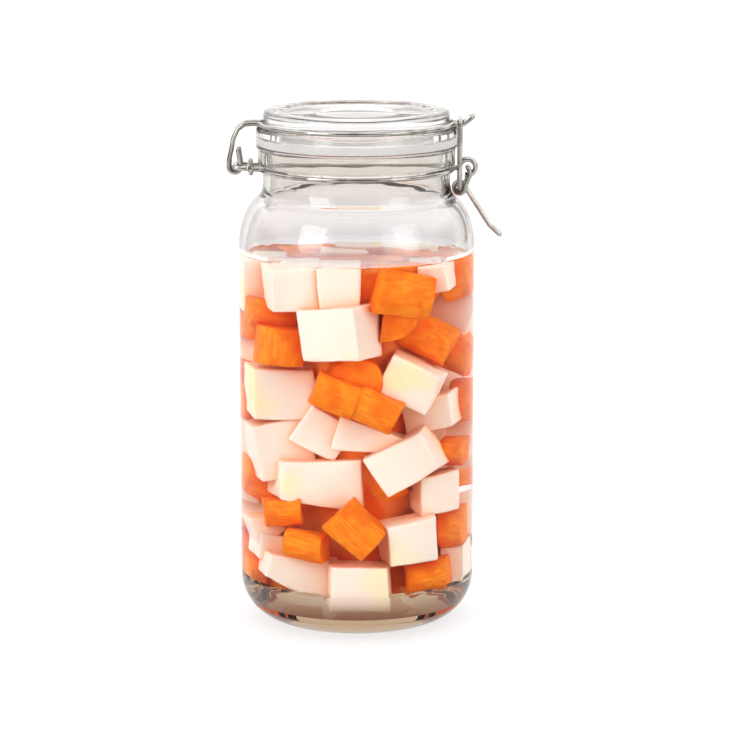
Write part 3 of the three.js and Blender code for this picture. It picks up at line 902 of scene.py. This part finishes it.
def make_vegetables(radish, carrot, core):
    """The heap, one piece: radish, carrot and the core that closes the gaps between them."""
    draw = random.Random(DRAW_SEED)
    heap = turned(CORE_PROFILE, 32)
    heap.verts.layers.float_vector.new("grain")
    for face in heap.faces:
        face.material_index = 2
    front = [from_picture(piece) for piece in SHOWN] + TOP
    others = []
    for piece in front + back_pieces(draw) + filler_pieces(draw) + inner_pieces(draw):
        mesh = placed(piece, draw)
        mesh.verts.index_update()
        if settle(piece, mesh, others, FRONT_PUSH if piece in front else DEEPEST_PUSH):
            for face in mesh.faces:
                face.material_index = 0 if piece["cut"] in RADISH_CUTS else 1
            bmesh.ops.scale(mesh, verts=mesh.verts, vec=(MM, MM, MM))
            part = bpy.data.meshes.new("cut")
            mesh.to_mesh(part)
            heap.from_mesh(part)
            bpy.data.meshes.remove(part)
        mesh.free()
    made = finished("vegetable_heap", heap, radish, "jar", "vegetables", "pickles", smooth_angle=50.0)
    made.data.materials.append(carrot)
    made.data.materials.append(core)


# Floor, light and camera
def make_floor():
    mesh = bmesh.new()
    bmesh.ops.create_grid(mesh, x_segments=1, y_segments=1, size=14.0)
    data = bpy.data.meshes.new("floor")
    mesh.to_mesh(data)
    mesh.free()
    data.materials.append(floor_finish())
    floor = bpy.data.objects.new("floor", data)
    bpy.context.scene.collection.objects.link(floor)


def make_world():
    """A wide soft light from above, a white screen behind, one on each side in front, dark between."""
    sky = Finish("studio", world=True)
    heading = sky.node("ShaderNodeTexCoord", output="Generated")
    split = sky.node("ShaderNodeSeparateXYZ", {}, {0: heading})
    right, back, up = (Wired(sky, split.socket.node.outputs[i]) for i in (0, 1, 2))
    bearing = sky.node("ShaderNodeMath", {"operation": "ARCTAN2"}, {0: back, 1: right})
    quarters = sky.node("ShaderNodeMath", {"operation": "COSINE"}, {0: bearing * 4.0})
    beside = sky.between(0.0 - quarters, 0.1, 0.7)
    behind = sky.between(back, 0.3, 0.65)
    screens = beside + behind * (1.0 - beside)
    before = sky.between(0.0 - back, 0.1, 0.5)
    above = sky.between(up - 0.4 * before, 0.26, 0.42)
    around = DARK_LEVEL + SCREEN_LEVEL * screens
    level = around * (1.0 - above) + OVERHEAD_LEVEL * above
    sky.feed(sky.shader.inputs["Color"], (1.0, 0.985, 0.97))
    sky.feed(sky.shader.inputs["Strength"], level)
    bpy.context.scene.world = sky.owner


def make_softbox(name, bearing, power):
    data = bpy.data.lights.new(name, "AREA")
    data.shape = "RECTANGLE"
    data.size, data.size_y = LAMP_SIZE
    data.energy = power
    lamp = bpy.data.objects.new(name, data)
    angle = math.radians(bearing)
    lamp.location = (LAMP_DISTANCE * math.sin(angle), -LAMP_DISTANCE * math.cos(angle), LAMP_HEIGHT)
    aim = Vector(LAMP_AIM) - lamp.location
    lamp.rotation_euler = aim.to_track_quat("-Z", "Y").to_euler()
    bpy.context.scene.collection.objects.link(lamp)


def make_camera():
    data = bpy.data.cameras.new("camera")
    data.sensor_width = SENSOR
    data.lens = LENS
    camera = bpy.data.objects.new("camera", data)
    camera.location = Vector(CAMERA) * MM
    camera.rotation_euler = (math.radians(90 - TILT_DOWN), 0, 0)
    bpy.context.scene.collection.objects.link(camera)
    bpy.context.scene.camera = camera


make_camera()
make_floor()
make_world()
make_softbox("softbox_left", bearing=-47, power=12.0)
make_softbox("softbox_right", bearing=54, power=6.5)
bpy.context.scene.view_settings.view_transform = "Standard"

steel = wire_finish()
make_jar(glass_finish("jar_clear_glass", JAR_TINT, JAR_WAVES, base_tint=BASE_TINT, rim_tint=RIM_TINT,
                      edge_tint=EDGE_TINT),
         glass_finish("jar_wet_base_glass", WET_TINT, WET_WAVES, GLASS_BEND / BRINE_BEND,
                      base_tint=BASE_TINT),
         glass_finish("jar_full_glass", FULL_TINT, JAR_WAVES, FULL_BEND),
         glass_finish("jar_wet_glass", WET_TINT, WET_WAVES, FULL_BEND / BRINE_BEND))
make_lid(glass_finish("lid_clear_glass", LID_TINT, LID_WAVES, edge_tint=LID_EDGE_TINT))
make_seal(seal_finish())
make_brine(brine_finish("brine_clear", BRINE_BEND), brine_finish("brine_in_wall", 1.0))
make_neck_wire(steel)
make_lid_wire(steel)
make_lever(steel)
make_link(steel)
make_vegetables(radish_finish(), carrot_finish(), core_finish())
